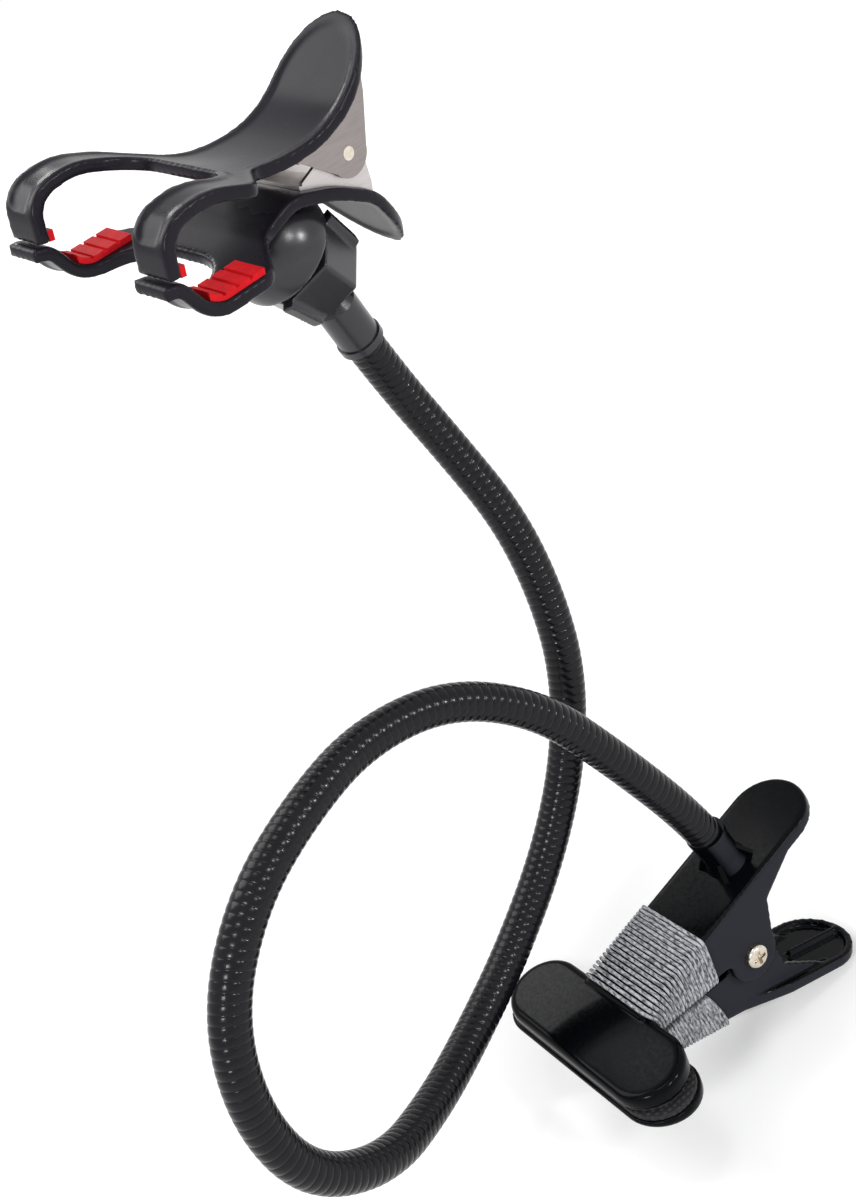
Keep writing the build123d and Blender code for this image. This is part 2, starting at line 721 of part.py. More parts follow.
lip_at = math.sqrt(cup_radius**2 - nut_lip**2)
shelf = thread_end + cheek_gap
shelf_radius = math.sqrt(cup_radius**2 - shelf**2)
mid_angle = (math.atan2(shelf_radius, shelf) + math.atan2(nut_lip, lip_at)) / 2
nut_taper = math.degrees(math.atan2(nut_big - nut_small, nut_end - nut_start))
nut_across = pin_axis.rotate(Axis((0, 0, 0), socket_dir), nut_turn)
with BuildPart() as lock_nut:
    with BuildSketch(Plane(origin=ball_point + socket_dir * nut_start, x_dir=nut_across, z_dir=socket_dir)):
        RegularPolygon(nut_big, 6)
    extrude(amount=nut_end - nut_start, taper=nut_taper)
    chamfer(faces().sort_by(Axis(ball_point, socket_dir))[-1].edges(), length=nut_bevel)
    with BuildSketch(socket_profile):
        with BuildLine():
            ThreePointArc(
                (shelf, shelf_radius),
                (cup_radius * math.cos(mid_angle), cup_radius * math.sin(mid_angle)),
                (lip_at, nut_lip),
            )
            Polyline(
                (lip_at, nut_lip), (nut_end + nut_bevel, nut_mouth), (nut_end + nut_bevel, 0),
                (nut_start - nut_bevel, 0), (nut_start - nut_bevel, thread_radius + thread_clearance),
                (shelf, thread_radius + thread_clearance), (shelf, shelf_radius),
            )
        make_face()
    revolve(axis=Axis(ball_point, socket_dir), mode=Mode.SUBTRACT)
    for i in range(3):
        out = nut_across.rotate(Axis((0, 0, 0), socket_dir), i * 120)
        side = socket_dir.cross(out)
        rib_side = Plane(origin=ball_point - side * (nut_rib[0] / 2), x_dir=socket_dir, z_dir=side)
        with BuildSketch(rib_side) as rib:
            with BuildLine():
                Polyline(
                    (nut_start, nut_small - nut_rib[1]), (nut_start, nut_big + nut_rib[1]),
                    (nut_end - 3 * nut_bevel, nut_small + nut_rib[1]),
                    (nut_end - 2 * nut_bevel, nut_small - nut_rib[1]), close=True,
                )
            make_face()
        extrude(rib.sketch, amount=nut_rib[0])

for name, piece in [
    ("upper_lever", upper_lever), ("lower_lever", lower_lever), ("upper_grip_pad", upper_grip_pad),
    ("lower_grip_pad", lower_grip_pad), ("hinge_screw", hinge_screw), ("hinge_nut", hinge_nut),
    ("elastic_band", elastic_band), ("neck_socket", neck_socket), ("neck_screw", neck_screw),
    ("gooseneck", gooseneck), ("ball_stem", ball_stem), ("lock_nut", lock_nut),
    ("upper_jaw", upper_jaw), ("lower_jaw", lower_jaw), ("upper_bracket", upper_bracket),
    ("lower_bracket", lower_bracket), ("clip_pin", clip_pin), ("clip_spring", clip_spring),
    ("lower_near_pad", lower_near_pad), ("lower_far_pad", lower_far_pad),
    ("upper_near_pad", upper_near_pad), ("upper_far_pad", upper_far_pad),
]:
    piece.part.label = name
    export_step(piece.part, f"parts/{name}.step")
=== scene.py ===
import math

import bpy
from mathutils import Matrix, Vector


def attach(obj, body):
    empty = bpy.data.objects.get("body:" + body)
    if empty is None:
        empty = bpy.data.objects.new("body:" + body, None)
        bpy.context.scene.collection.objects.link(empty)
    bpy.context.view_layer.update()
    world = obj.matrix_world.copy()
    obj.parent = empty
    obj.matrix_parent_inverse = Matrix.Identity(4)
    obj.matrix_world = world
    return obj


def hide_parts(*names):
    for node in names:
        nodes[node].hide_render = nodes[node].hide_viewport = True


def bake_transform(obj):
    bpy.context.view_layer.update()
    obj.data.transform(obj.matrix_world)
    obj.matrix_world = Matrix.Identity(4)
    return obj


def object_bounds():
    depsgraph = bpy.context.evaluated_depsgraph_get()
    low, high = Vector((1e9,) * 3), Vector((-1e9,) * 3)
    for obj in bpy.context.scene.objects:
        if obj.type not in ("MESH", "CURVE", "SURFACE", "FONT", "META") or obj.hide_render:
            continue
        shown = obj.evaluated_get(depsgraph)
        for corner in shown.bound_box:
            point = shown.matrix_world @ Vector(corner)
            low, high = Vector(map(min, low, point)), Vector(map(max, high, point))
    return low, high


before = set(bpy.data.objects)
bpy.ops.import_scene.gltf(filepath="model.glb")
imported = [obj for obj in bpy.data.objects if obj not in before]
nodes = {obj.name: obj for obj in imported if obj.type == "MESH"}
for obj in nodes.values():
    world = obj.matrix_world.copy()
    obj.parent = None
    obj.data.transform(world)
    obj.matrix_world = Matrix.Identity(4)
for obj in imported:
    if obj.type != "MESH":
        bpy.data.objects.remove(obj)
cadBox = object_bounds()
mm = 0.001
mergeWithin = 0.002 * mm   # corners of a node's triangles that are the same point
print("frame loaded, nodes:", len(nodes))


# colours are written as sRGB hex and turned to linear here
def linearColour(hexText):
    channels = [int(hexText[i:i + 2], 16) / 255 for i in (0, 2, 4)]
    return [c / 12.92 if c < 0.04045 else ((c + 0.055) / 1.055) ** 2.4 for c in channels] + [1.0]


def addNode(tree, kind, settings, inputs):
    node = tree.nodes.new(kind)
    for name, value in settings.items():
        setattr(node, name, value)
    for name, value in inputs.items():
        if isinstance(value, bpy.types.NodeSocket):
            tree.links.new(value, node.inputs[name])
        else:
            node.inputs[name].default_value = value
    return node


def startMaterial(name):
    material = bpy.data.materials.new(name)
    material.use_nodes = True
    tree = material.node_tree
    shader = tree.nodes["Principled BSDF"]
    place = addNode(tree, "ShaderNodeTexCoord", {}, {}).outputs["Object"]
    return material, tree, shader, place


def startPiece():
    if bpy.context.object and bpy.context.object.mode != "OBJECT":
        bpy.ops.object.mode_set(mode="OBJECT")
    bpy.ops.object.select_all(action="DESELECT")


def copyNode(name, node):
    startPiece()
    piece = bpy.data.objects.new(name, nodes[node].data.copy())
    bpy.context.scene.collection.objects.link(piece)
    piece.select_set(True)
    bpy.context.view_layer.objects.active = piece
    bpy.ops.object.mode_set(mode="EDIT")
    bpy.ops.mesh.select_all(action="SELECT")
    bpy.ops.mesh.remove_doubles(threshold=mergeWithin)
    bpy.ops.object.mode_set(mode="OBJECT")
    return piece


def applyAll(piece):
    bpy.context.view_layer.objects.active = piece
    for modifier in list(piece.modifiers):
        bpy.ops.object.modifier_apply(modifier=modifier.name)


# camera where the photograph was taken from
camera = {
    "eye": (311.7, -125.7, 317.6),  # mm
    "azimuth": 67.28,               # degrees, as are the next two
    "elevation": 25.74,
    "roll": -23.07,
    "lens": 44.56,
    "sensor": 36.0,
    "clipStart": 10,                # mm
}
azimuth = math.radians(camera["azimuth"])
elevation = math.radians(camera["elevation"])
back = Vector((
    math.sin(azimuth) * math.cos(elevation),
    -math.cos(azimuth) * math.cos(elevation),
    math.sin(elevation),
))
eyeTurn = back.to_track_quat("Z", "Y").to_matrix().to_4x4()
eyeTurn = eyeTurn @ Matrix.Rotation(math.radians(camera["roll"]), 4, "Z")
startPiece()
bpy.ops.object.camera_add()
photoCamera = bpy.context.object
photoCamera.name = "photo_camera"
photoCamera.data.lens = camera["lens"]
photoCamera.data.sensor_width = camera["sensor"]
photoCamera.data.clip_start = camera["clipStart"] * mm
photoCamera.matrix_world = Matrix.Translation(Vector(camera["eye"]) * mm) @ eyeTurn
bpy.context.scene.camera = photoCamera
print("camera set")

# white room: pale floor that keeps the shadow, a large soft lamp, and smaller ones for the highlights
studio = {
    "skyForLight": 0.4,             # strength that lights the object, where the eye sees 1
    "floorSize": 12000,             # mm
    "floorBelow": 0.2,              # mm under the lowest point
    "floorColour": "f4f4f4",
    "floorRoughness": 0.9,
    "floorGlow": (0.2, 1.0),        # what the camera sees added to the lit paper, near and far
    "floorGlowFrom": (300, 1500),   # mm from the middle
    "lamps": [  # name, place in mm, size in mm, watts
        ("back_softbox", (-430, -330, 720), 500, 3.2),
        ("key_lamp", (420, -620, 480), 160, 2.6),
        ("high_lamp", (60, -80, 900), 200, 0.8),
        ("side_lamp", (650, 420, 420), 80, 2.0),
        ("right_lamp", (700, 140, 560), 120, 1.4),
        ("left_sheen", (-590, 80, 545), 110, 0.22),
        ("right_sheen", (-437, 80, 545), 50, 0.025),
    ],
    "aim": (0, 0, 110),
}
scene = bpy.context.scene
scene.view_settings.view_transform = "Standard"
world = bpy.data.worlds.new("white_room")
scene.world = world
world.use_nodes = True
skyTree = world.node_tree
skyTree.nodes.clear()
rays = addNode(skyTree, "ShaderNodeLightPath", {}, {})
seen = addNode(skyTree, "ShaderNodeMath", {"operation": "MAXIMUM"}, {
    0: rays.outputs["Is Camera Ray"], 1: rays.outputs["Is Glossy Ray"]})
seen = addNode(skyTree, "ShaderNodeMath", {"operation": "MAXIMUM"}, {
    0: seen.outputs[0], 1: rays.outputs["Is Transmission Ray"]})
skyStrength = addNode(skyTree, "ShaderNodeMapRange", {}, {
    "Value": seen.outputs[0], "To Min": studio["skyForLight"], "To Max": 1.0})
sky = addNode(skyTree, "ShaderNodeBackground", {}, {
    "Color": (1, 1, 1, 1), "Strength": skyStrength.outputs[0]})
addNode(skyTree, "ShaderNodeOutputWorld", {}, {"Surface": sky.outputs[0]})

startPiece()
floorHeight = cadBox[0][2] - studio["floorBelow"] * mm
bpy.ops.mesh.primitive_plane_add(size=studio["floorSize"] * mm, location=(0, 0, floorHeight))
floor = bpy.context.object
floor.name = "floor"
floorPaper, tree, shader, place = startMaterial("matt white paper")
shader.inputs["Base Color"].default_value = linearColour(studio["floorColour"])
shader.inputs["Roughness"].default_value = studio["floorRoughness"]
shader.inputs["Specular IOR Level"].default_value = 0.0
shader.inputs["Emission Color"].default_value = (1, 1, 1, 1)
rays = addNode(tree, "ShaderNodeLightPath", {}, {})
seen = addNode(tree, "ShaderNodeMath", {"operation": "MAXIMUM"}, {
    0: rays.outputs["Is Camera Ray"], 1: rays.outputs["Is Glossy Ray"]})
seen = addNode(tree, "ShaderNodeMath", {"operation": "MAXIMUM"}, {
    0: seen.outputs[0], 1: rays.outputs["Is Transmission Ray"]})
far = addNode(tree, "ShaderNodeVectorMath", {"operation": "LENGTH"}, {0: place})
fade = addNode(tree, "ShaderNodeMapRange", {}, {
    "Value": far.outputs["Value"],
    "From Min": studio["floorGlowFrom"][0] * mm, "From Max": studio["floorGlowFrom"][1] * mm,
    "To Min": studio["floorGlow"][0], "To Max": studio["floorGlow"][1]})
glow = addNode(tree, "ShaderNodeMath", {"operation": "MULTIPLY"}, {
    0: seen.outputs[0], 1: fade.outputs[0]})
tree.links.new(glow.outputs[0], shader.inputs["Emission Strength"])
floor.data.materials.append(floorPaper)

for name, spot, size, watts in studio["lamps"]:
    startPiece()
    bpy.ops.object.light_add(type="AREA", location=Vector(spot) * mm)
    lamp = bpy.context.object
    lamp.name = name
    lamp.data.size = size * mm
    lamp.data.energy = watts
    toAim = (Vector(studio["aim"]) - Vector(spot)).normalized()
    lamp.rotation_euler = toAim.to_track_quat("-Z", "Y").to_euler()
print("room and lamps set")


# ABS moulded in a polished tool: deep black, mirror-like, with slow waves in the gloss;
# behind the jaws the faces that look sideways are left matt and painted a lighter charcoal as painted
# light
def makeGlossyAbs():
    material, tree, shader, place = startMaterial("polished black ABS")
    waveWidth = 14 * mm
    dustSize = 1.1 * mm
    mattAndLitFrom = (12 * mm, 14 * mm)   # along y, where the jaws end
    mattAndLitSlope = (0.75, 0.95)        # share of the normal that points sideways
    waves = addNode(tree, "ShaderNodeTexNoise", {}, {
        "Vector": place, "Scale": 1 / waveWidth, "Detail": 2})
    dust = addNode(tree, "ShaderNodeTexNoise", {}, {
        "Vector": place, "Scale": 1 / dustSize, "Detail": 4})
    gloss = addNode(tree, "ShaderNodeMapRange", {}, {
        "Value": dust.outputs["Fac"], "From Min": 0.35, "From Max": 0.75,
        "To Min": 0.1, "To Max": 0.2})
    tone = addNode(tree, "ShaderNodeValToRGB", {}, {"Fac": waves.outputs["Fac"]})
    tone.color_ramp.elements[0].color = linearColour("030406")
    tone.color_ramp.elements[1].color = linearColour("08090c")
    facing = addNode(tree, "ShaderNodeTexCoord", {}, {}).outputs["Normal"]
    facing = addNode(tree, "ShaderNodeSeparateXYZ", {}, {"Vector": facing})
    sideways = addNode(tree, "ShaderNodeMath", {"operation": "ABSOLUTE"}, {0: facing.outputs["X"]})
    sideways = addNode(tree, "ShaderNodeMapRange", {}, {
        "Value": sideways.outputs[0], "From Min": mattAndLitSlope[0], "From Max": mattAndLitSlope[1]})
    reach = addNode(tree, "ShaderNodeSeparateXYZ", {}, {"Vector": place})
    behind = addNode(tree, "ShaderNodeMapRange", {}, {
        "Value": reach.outputs["Y"], "From Min": mattAndLitFrom[0], "From Max": mattAndLitFrom[1],
        "To Max": sideways.outputs[0]})
    # painted light: the sideways faces behind the jaws take a lighter charcoal, standing in for the
    # light they catch
    matt = addNode(tree, "ShaderNodeMix", {"data_type": "RGBA"}, {
        "Factor": behind.outputs[0], 6: tone.outputs["Color"], 7: linearColour("26272d")})
    gloss = addNode(tree, "ShaderNodeMapRange", {}, {
        "Value": behind.outputs[0], "To Min": gloss.outputs[0], "To Max": 0.5})
    dent = addNode(tree, "ShaderNodeBump", {}, {
        "Height": waves.outputs["Fac"], "Strength": 0.05, "Distance": 0.6 * mm})
    tree.links.new(matt.outputs[2], shader.inputs["Base Color"])
    tree.links.new(gloss.outputs[0], shader.inputs["Roughness"])
    tree.links.new(dent.outputs[0], shader.inputs["Normal"])
    shader.inputs["IOR"].default_value = 1.5
    shader.inputs["Specular IOR Level"].default_value = 0.06
    return material


# ABS with a spark-eroded grain: satin charcoal that turns grey where light grazes it,
# or, with more sheen, the smoother skin of the nut, the ferrule and the ball's cup
def makeSatinAbs(name, sheen):
    material, tree, shader, place = startMaterial(name)
    grainSize = 0.45 * mm
    rubbedWidth = 18 * mm
    grain = addNode(tree, "ShaderNodeTexNoise", {}, {
        "Vector": place, "Scale": 1 / grainSize, "Detail": 3})
    rubbed = addNode(tree, "ShaderNodeTexNoise", {}, {
        "Vector": place, "Scale": 1 / rubbedWidth, "Detail": 2})
    gloss = addNode(tree, "ShaderNodeMapRange", {}, {
        "Value": rubbed.outputs["Fac"], "From Min": 0.3, "From Max": 0.7,
        "To Min": 0.22, "To Max": 0.3})
    tone = addNode(tree, "ShaderNodeValToRGB", {}, {"Fac": rubbed.outputs["Fac"]})
    tone.color_ramp.elements[0].color = linearColour("17151b")
    tone.color_ramp.elements[1].color = linearColour("211f26")
    pits = addNode(tree, "ShaderNodeBump", {}, {
        "Height": grain.outputs["Fac"], "Strength": 0.12, "Distance": 0.05 * mm})
    tree.links.new(tone.outputs["Color"], shader.inputs["Base Color"])
    tree.links.new(gloss.outputs[0], shader.inputs["Roughness"])
    tree.links.new(pits.outputs[0], shader.inputs["Normal"])
    shader.inputs["IOR"].default_value = 1.5
    shader.inputs["Specular IOR Level"].default_value = sheen
    return material


# moulded rubber: dull black with a pebbled face, its hollows darkened with painted shade
def makeBlackRubber():
    material, tree, shader, place = startMaterial("pebbled black rubber")
    pebbleSize = 1.7 * mm
    pebble = addNode(tree, "ShaderNodeTexVoronoi", {}, {
        "Vector": place, "Scale": 1 / pebbleSize, "Randomness": 0.15})
    rise = addNode(tree, "ShaderNodeMapRange", {}, {
        "Value": pebble.outputs["Distance"], "From Min": 0.15, "From Max": 0.5,
        "To Min": 1.0, "To Max": 0.0})
    # painted shade: the colour darkens from the pebble tops down into the hollows
    tone = addNode(tree, "ShaderNodeValToRGB", {}, {"Fac": rise.outputs[0]})
    tone.color_ramp.elements[0].color = linearColour("101012")
    tone.color_ramp.elements[1].color = linearColour("2c2c2f")
    bumps = addNode(tree, "ShaderNodeBump", {}, {
        "Height": rise.outputs[0], "Strength": 0.6, "Distance": 0.4 * mm})
    tree.links.new(tone.outputs["Color"], shader.inputs["Base Color"])
    tree.links.new(bumps.outputs[0], shader.inputs["Normal"])
    shader.inputs["Roughness"].default_value = 0.7
    return material


# silicone rubber: bright red, waxy, slightly uneven
def makeRedRubber():
    material, tree, shader, place = startMaterial("red silicone rubber")
    mottleSize = 2.5 * mm
    mottle = addNode(tree, "ShaderNodeTexNoise", {}, {
        "Vector": place, "Scale": 1 / mottleSize, "Detail": 3})
    tone = addNode(tree, "ShaderNodeValToRGB", {}, {"Fac": mottle.outputs["Fac"]})
    tone.color_ramp.elements[0].color = linearColour("b4141b")
    tone.color_ramp.elements[1].color = linearColour("de2229")
    skin = addNode(tree, "ShaderNodeBump", {}, {
        "Height": mottle.outputs["Fac"], "Strength": 0.1, "Distance": 0.2 * mm})
    tree.links.new(tone.outputs["Color"], shader.inputs["Base Color"])
    tree.links.new(skin.outputs[0], shader.inputs["Normal"])
    shader.inputs["Roughness"].default_value = 0.4
    shader.inputs["Specular IOR Level"].default_value = 0.04
    return material


# zinc-plated sheet steel: grey, brushed along the sheet
def makePlatedSteel(name, darkTone, lightTone):
    material, tree, shader, place = startMaterial(name)
    strokeLength = 6 * mm
    strokeWidth = 0.5 * mm
    stretch = addNode(tree, "ShaderNodeMapping", {}, {
        "Vector": place, "Scale": (1 / strokeLength, 1 / strokeLength, 1 / strokeWidth)})
    brush = addNode(tree, "ShaderNodeTexNoise", {}, {
        "Vector": stretch.outputs[0], "Scale": 1.0, "Detail": 4})
    tone = addNode(tree, "ShaderNodeValToRGB", {}, {"Fac": brush.outputs["Fac"]})
    tone.color_ramp.elements[0].color = linearColour(darkTone)
    tone.color_ramp.elements[1].color = linearColour(lightTone)
    gloss = addNode(tree, "ShaderNodeMapRange", {}, {
        "Value": brush.outputs["Fac"], "From Min": 0.3, "From Max": 0.7,
        "To Min": 0.3, "To Max": 0.42})
    tree.links.new(tone.outputs["Color"], shader.inputs["Base Color"])
    tree.links.new(gloss.outputs[0], shader.inputs["Roughness"])
    shader.inputs["Metallic"].default_value = 1.0
    return material


# nickel-plated screw: bright, a little yellow
def makeScrewNickel():
    material, tree, shader, place = startMaterial("nickel plated steel")
    wearSize = 1.2 * mm
    wear = addNode(tree, "ShaderNodeTexNoise", {}, {
        "Vector": place, "Scale": 1 / wearSize, "Detail": 4})
    tone = addNode(tree, "ShaderNodeValToRGB", {}, {"Fac": wear.outputs["Fac"]})
    tone.color_ramp.elements[0].color = linearColour("b3a695")
    tone.color_ramp.elements[1].color = linearColour("e6dfd3")
    gloss = addNode(tree, "ShaderNodeMapRange", {}, {
        "Value": wear.outputs["Fac"], "From Min": 0.3, "From Max": 0.7,
        "To Min": 0.14, "To Max": 0.3})
    tree.links.new(tone.outputs["Color"], shader.inputs["Base Color"])
    tree.links.new(gloss.outputs[0], shader.inputs["Roughness"])
    shader.inputs["Metallic"].default_value = 1.0
    return material


# covered elastic webbing: silver and grey yarn, salt and pepper along each row,
# darkened in the gap between the arms with painted shade
def makeWovenElastic():
    material, tree, shader, place = startMaterial("silver woven elastic")
    stitchLength = 1.6 * mm
    stitchWidth = 0.5 * mm
    creaseShadeTo = (1.2 * mm, 2.8 * mm)   # above and below the middle of the gap
    along = addNode(tree, "ShaderNodeMapping", {}, {
        "Vector": place, "Scale": (1 / stitchLength, 1 / stitchWidth, 1 / stitchLength)})
    yarn = addNode(tree, "ShaderNodeTexNoise", {}, {
        "Vector": along.outputs[0], "Scale": 1.0, "Detail": 3})
    height = addNode(tree, "ShaderNodeSeparateXYZ", {}, {"Vector": place})
    # painted shade: the yarn is darkened towards the middle of the gap, where the upper arm shades
    # the band
    creaseShade = addNode(tree, "ShaderNodeMath", {"operation": "ABSOLUTE"}, {0: height.outputs["Z"]})
    creaseShade = addNode(tree, "ShaderNodeMapRange", {}, {
        "Value": creaseShade.outputs[0], "From Min": creaseShadeTo[0], "From Max": creaseShadeTo[1],
        "To Min": 0.55, "To Max": 1.0})
    shadedYarn = addNode(tree, "ShaderNodeMath", {"operation": "MULTIPLY"}, {
        0: yarn.outputs["Fac"], 1: creaseShade.outputs[0]})
    tone = addNode(tree, "ShaderNodeValToRGB", {}, {"Fac": shadedYarn.outputs[0]})
    tone.color_ramp.elements[0].position = 0.36
    tone.color_ramp.elements[0].color = linearColour("2b2d34")
    tone.color_ramp.elements[1].position = 0.6
    tone.color_ramp.elements[1].color = linearColour("b4b6bb")
    fibre = addNode(tree, "ShaderNodeBump", {}, {
        "Height": yarn.outputs["Fac"], "Strength": 0.5, "Distance": 0.3 * mm})
    tree.links.new(tone.outputs["Color"], shader.inputs["Base Color"])
    tree.links.new(fibre.outputs[0], shader.inputs["Normal"])
    shader.inputs["Roughness"].default_value = 0.6
    shader.inputs["Sheen Weight"].default_value = 0.3
    return material


# black-coated steel winding: smooth paint that shines along each rib
def makeBlackCoating():
    material, tree, shader, place = startMaterial("black coated steel")
    rubbedWidth = 9 * mm
    speckSize = 0.8 * mm
    rubbed = addNode(tree, "ShaderNodeTexNoise", {}, {
        "Vector": place, "Scale": 1 / rubbedWidth, "Detail": 3})
    speck = addNode(tree, "ShaderNodeTexNoise", {}, {
        "Vector": place, "Scale": 1 / speckSize, "Detail": 2})
    tone = addNode(tree, "ShaderNodeValToRGB", {}, {"Fac": rubbed.outputs["Fac"]})
    tone.color_ramp.elements[0].color = linearColour("0a0a0c")
    tone.color_ramp.elements[1].color = linearColour("15151a")
    gloss = addNode(tree, "ShaderNodeMapRange", {}, {
        "Value": speck.outputs["Fac"], "From Min": 0.3, "From Max": 0.7,
        "To Min": 0.14, "To Max": 0.26})
    tree.links.new(tone.outputs["Color"], shader.inputs["Base Color"])
    tree.links.new(gloss.outputs[0], shader.inputs["Roughness"])
    shader.inputs["Specular IOR Level"].default_value = 0.18
    return material


glossyAbs = makeGlossyAbs()
satinAbs = makeSatinAbs("satin black ABS", 0.1)
smoothAbs = makeSatinAbs("smooth black ABS", 0.5)
blackRubber = makeBlackRubber()
redRubber = makeRedRubber()
platedSteel = makePlatedSteel("zinc plated steel", "7c7674", "98918f")
# painted light: the lower bracket gets a lighter copy of the same zinc plated steel
litPlatedSteel = makePlatedSteel("zinc plated steel with painted light", "aba6a5", "c8c3c2")
screwNickel = makeScrewNickel()
wovenElastic = makeWovenElastic()
blackCoating = makeBlackCoating()

finishes = {
    "upper_lever": glossyAbs,
    "lower_lever": glossyAbs,
    "upper_grip_pad": blackRubber,
    "lower_grip_pad": blackRubber,
    "hinge_screw": screwNickel,
    "hinge_nut": platedSteel,
    "elastic_band": wovenElastic,
    "neck_socket": glossyAbs,
    "neck_screw": platedSteel,
    "gooseneck": blackCoating,
    "ball_stem": smoothAbs,
    "lock_nut": smoothAbs,
    "upper_jaw": satinAbs,
    "lower_jaw": satinAbs,
    "upper_bracket": platedSteel,
    "lower_bracket": litPlatedSteel,
    "clip_pin": screwNickel,
    "clip_spring": platedSteel,
    "lower_near_pad": redRubber,
    "lower_far_pad": redRubber,
    "upper_near_pad": redRubber,
    "upper_far_pad": redRubber,
}
for name, finish in finishes.items():
    nodes[name].data.materials.clear()
    nodes[name].data.materials.append(finish)
print("finishes set:", len(finishes))

# gooseneck: one wound rib run round and along the neck's route
neck = {
    "diameter": 10.0,        # mm, as are the other lengths
    "ribPitch": 2.5,
    "ribHeight": 0.2,
    "ribPoints": 12,         # round the circle whose upper half is the rib's profile
    "around": 24,            # steps in a turn
    "routeSteps": 16,        # between two points of the route
    "turnMerge": 0.02,       # where one turn meets the next
    "route": [  # mm, as in the part's source but for the eighth, drawn in by half a millimetre
        (-4.0, 39.0, 79.5), (-6.5, 25.0, 104.5), (-9.5, 3.0, 122.0), (-8.0, -24.0, 127.5),
        (0.0, -49.5, 125.0), (6.5, -72.5, 116.5), (12.5, -91.5, 98.0), (18.0, -99.0, 73.0),
        (20.5, -94.5, 47.5), (14.5, -75.0, 29.0), (-1.0, -52.5, 20.5), (-15.0, -29.0, 19.5),
        (-23.5, -4.5, 27.5), (-28.0, 20.5, 45.0), (-30.0, 39.0, 67.0), (-30.0, 50.0, 93.0),
        (-34.0, 54.5, 117.5), (-39.0, 54.5, 142.5), (-46.0, 49.0, 167.5),
    ],
    "socketFloor": (0.0, 60.16, 28.9),
    "socketTurn": (0.0, -0.2689, 0.9632),
    "socketLead": 15.0,
    "stemFloor": (-44.48, 32.58, 218.35),
    "stemTurn": (-0.2678, 0.3362, -0.9029),
    "stemLead": 25.0,
}
socketFloor = Vector(neck["socketFloor"])
stemFloor = Vector(neck["stemFloor"])
neckPoints = [socketFloor, socketFloor + Vector(neck["socketTurn"]) * neck["socketLead"]]
neckPoints += [Vector(p) for p in neck["route"]]
neckPoints += [stemFloor + Vector(neck["stemTurn"]) * neck["stemLead"], stemFloor]
routeCurve = bpy.data.curves.new("neck_route", "CURVE")
routeCurve.dimensions = "3D"
routeCurve.resolution_u = neck["routeSteps"]
routeSpline = routeCurve.splines.new("NURBS")
routeSpline.points.add(len(neckPoints) - 1)
for point, spot in zip(routeSpline.points, neckPoints):
    point.co = (spot * mm).to_4d()
routeSpline.order_u = 3
routeSpline.use_endpoint_u = True
route = bpy.data.objects.new("neck_route", routeCurve)
scene.collection.objects.link(route)
neckLength = routeSpline.calc_length()

startPiece()
pitch = neck["ribPitch"] * mm
turnMerge = neck["turnMerge"] * mm
bpy.ops.mesh.primitive_circle_add(
    vertices=neck["ribPoints"], radius=pitch / 2, rotation=(math.radians(90), 0, 0))
ribbedNeck = bpy.context.object
ribbedNeck.name = "ribbed_neck"
bpy.ops.object.transform_apply(location=True, rotation=True, scale=True)
bpy.ops.object.mode_set(mode="EDIT")
bpy.ops.mesh.select_all(action="DESELECT")
bpy.ops.object.mode_set(mode="OBJECT")
for vertex in ribbedNeck.data.vertices:
    vertex.select = vertex.co.z < -turnMerge / 2
bpy.ops.object.mode_set(mode="EDIT")
bpy.ops.mesh.delete(type="VERT")
bpy.ops.mesh.select_all(action="SELECT")
bpy.ops.transform.resize(value=(1, 1, neck["ribHeight"] * mm / (pitch / 2)))
lift = neck["diameter"] / 2 * mm - neck["ribHeight"] * mm
bpy.ops.transform.translate(value=(0, 0, lift))
bpy.ops.object.mode_set(mode="OBJECT")
turns = round(neckLength / pitch) - 1
wound = ribbedNeck.modifiers.new("wound", "SCREW")
wound.axis = "X"
wound.angle = math.radians(360)
wound.screw_offset = neckLength / (turns + 1)
wound.iterations = turns
wound.steps = neck["around"]
wound.render_steps = neck["around"]
wound.use_merge_vertices = True
wound.merge_threshold = turnMerge
laid = ribbedNeck.modifiers.new("laid", "CURVE")
laid.object = route
laid.deform_axis = "POS_X"
applyAll(ribbedNeck)
bpy.data.objects.remove(route)
bpy.ops.object.mode_set(mode="EDIT")
bpy.ops.mesh.select_all(action="SELECT")
bpy.ops.mesh.remove_doubles(threshold=turnMerge)
bpy.ops.mesh.fill_holes(sides=0)
bpy.ops.mesh.select_all(action="SELECT")
bpy.ops.mesh.normals_make_consistent(inside=False)
bpy.ops.object.mode_set(mode="OBJECT")
ribbedNeck.data.materials.clear()
ribbedNeck.data.materials.append(blackCoating)
ribbedNeck.data.shade_smooth()
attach(ribbedNeck, "clamp_and_neck")
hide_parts("gooseneck")
print("neck ribs:", turns, "neck length:", round(neckLength, 4))

